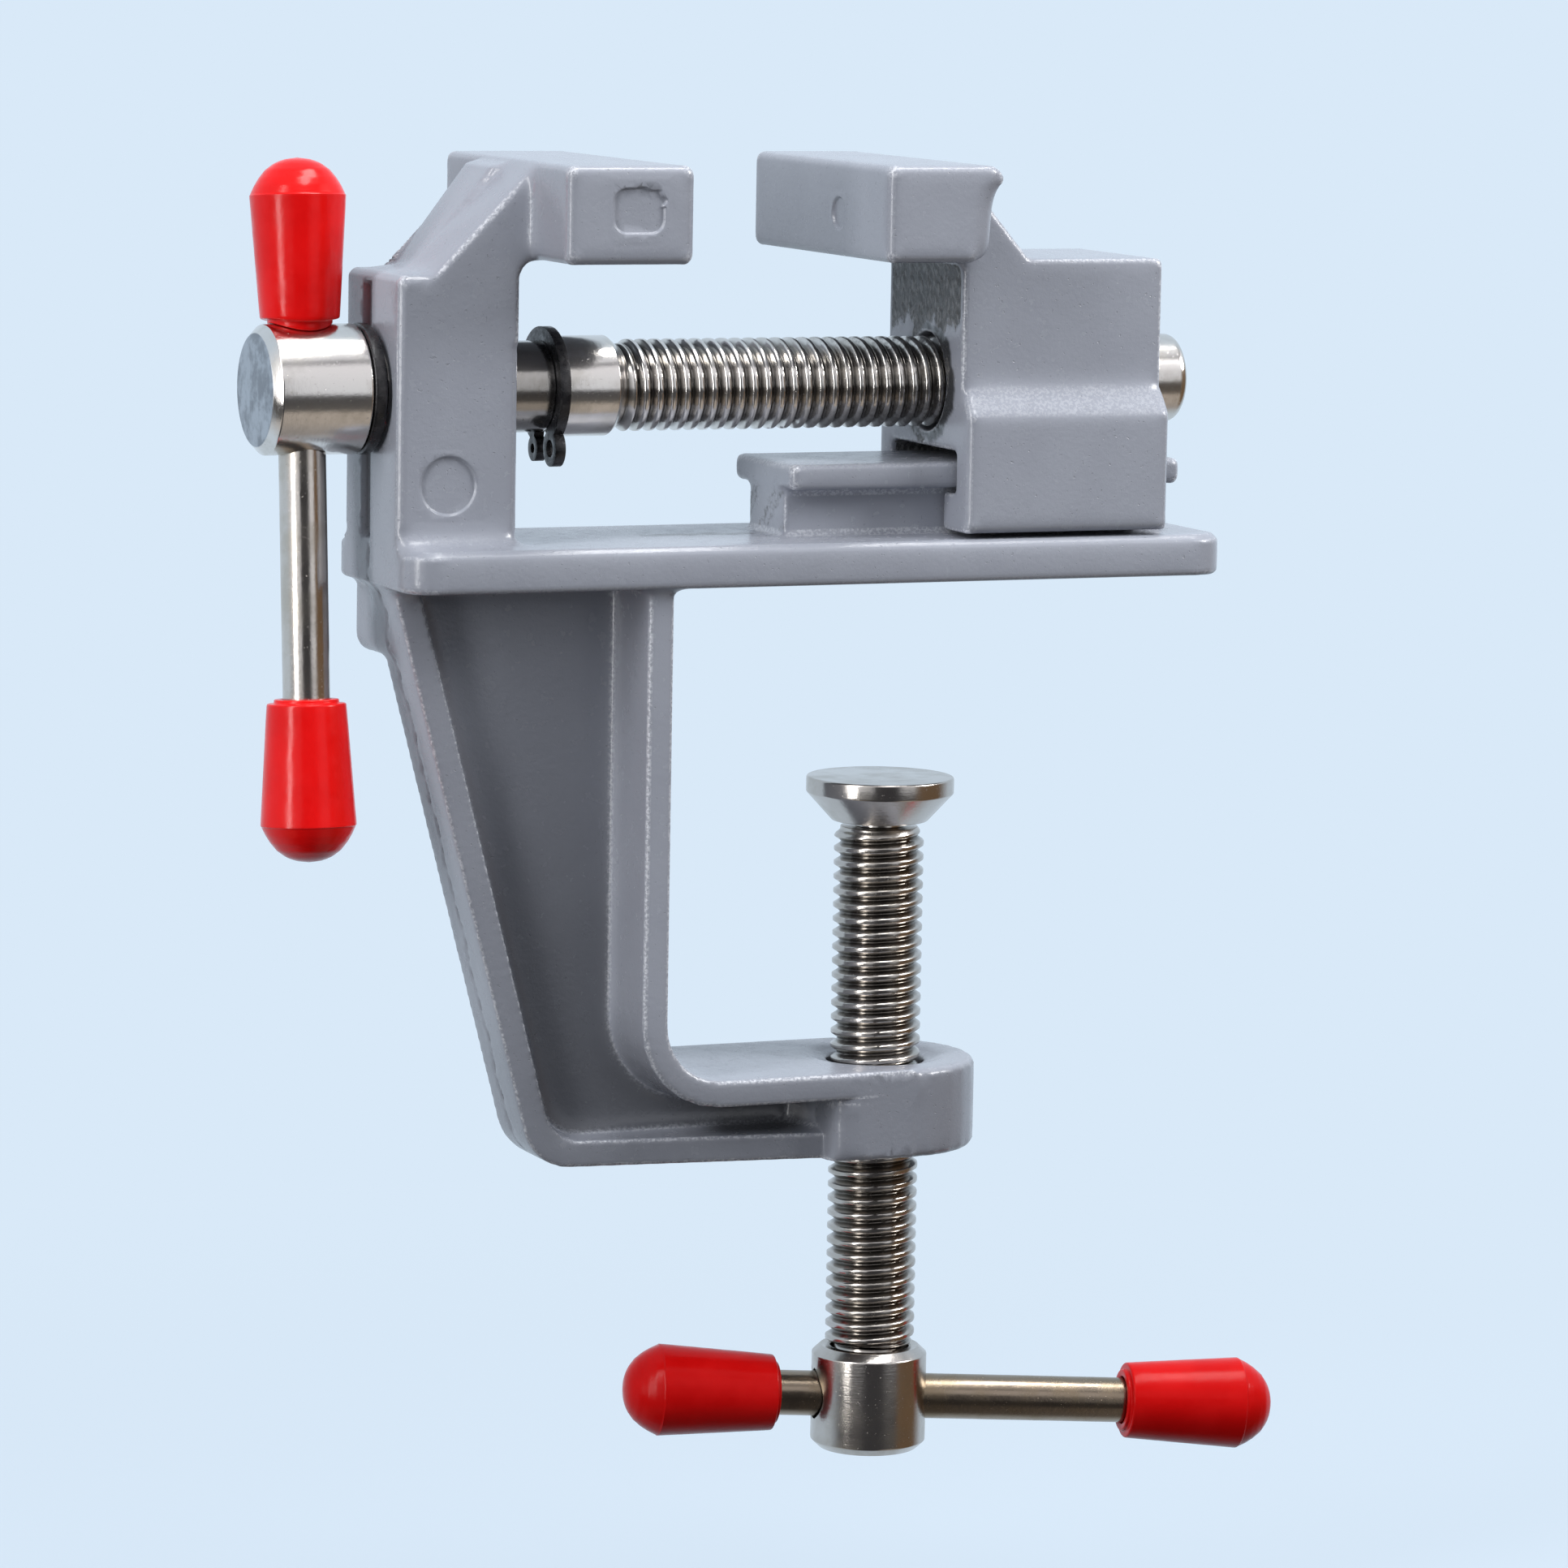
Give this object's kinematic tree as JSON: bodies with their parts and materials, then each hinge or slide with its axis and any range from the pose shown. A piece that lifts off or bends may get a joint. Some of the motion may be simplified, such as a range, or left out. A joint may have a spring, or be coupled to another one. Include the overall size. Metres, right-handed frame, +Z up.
{
  "type": "table-clamp mini bench vise",
  "caption": "Small cast bench vise in grey paint that clamps on a table edge, with plated screws, sliding tommy bars and red end caps",
  "frame": {"origin": "on the underside of the base plate, where the clamp screw's axis meets it", "axes": "+X along the main screw from its handle to the moving jaw, +Y to the back along the jaws, +Z up from the table top"},
  "size_m": [0.0943, 0.03, 0.1153],
  "materials": {
    "casting_paint": "semi-gloss cool grey paint with fine orange peel, worn to pale edges",
    "nickel_plate": "bright nickel plating on turned steel",
    "black_steel": "blackened oily steel",
    "red_cap": "glossy soft red plastic"
  },
  "bodies": {
    "frame": {"frame_casting": "casting_paint"},
    "moving_jaw": {"moving_jaw": "casting_paint"},
    "main_screw": {"main_screw_rod": "nickel_plate", "main_screw_head": "nickel_plate", "thrust_washer": "black_steel", "retaining_ring": "black_steel"},
    "main_bar": {"main_handle_bar": "nickel_plate", "main_cap_upper": "red_cap", "main_cap_lower": "red_cap"},
    "clamp_pad": {"clamp_pad": "nickel_plate"},
    "clamp_screw": {"clamp_screw_rod": "nickel_plate", "clamp_screw_head": "nickel_plate"},
    "clamp_bar": {"clamp_handle_bar": "nickel_plate", "clamp_cap_left": "red_cap", "clamp_cap_right": "red_cap"}
  },
  "joints": [
    {"name": "main_screw_turn", "type": "hinge", "parent": "frame", "child": "main_screw", "pos_m": [0, 0, 0.01665], "axis": [1, 0, 0], "range_deg": [-3602, 5013]},
    {"name": "jaw_slide", "type": "slide", "parent": "frame", "child": "moving_jaw", "axis": [1, 0, 0], "range_m": [-0.0174, 0.0125]},
    {"name": "main_bar_slide", "type": "slide", "parent": "main_screw", "child": "main_bar", "axis": [0, 0.0767, 0.9971], "range_m": [0, 0.0203]},
    {"name": "clamp_pad_slide", "type": "slide", "parent": "frame", "child": "clamp_pad", "axis": [0, 0, 1], "range_m": [-0.0205, 0.0165]},
    {"name": "clamp_screw_turn", "type": "hinge", "parent": "clamp_pad", "child": "clamp_screw", "pos_m": [0, 0, -0.018], "axis": [0, 0, 1], "range_deg": [-5906, 4754]},
    {"name": "clamp_bar_slide", "type": "slide", "parent": "clamp_screw", "child": "clamp_bar", "axis": [0.9783, -0.2008, -0.0506], "range_m": [-0.0178, 0.003]}
  ],
  "couplings": [
    {"joint": "main_screw_turn", "follows": "jaw_slide", "rad_per_m": -5026.5},
    {"joint": "clamp_screw_turn", "follows": "clamp_pad_slide", "rad_per_m": 5026.5}
  ]
}
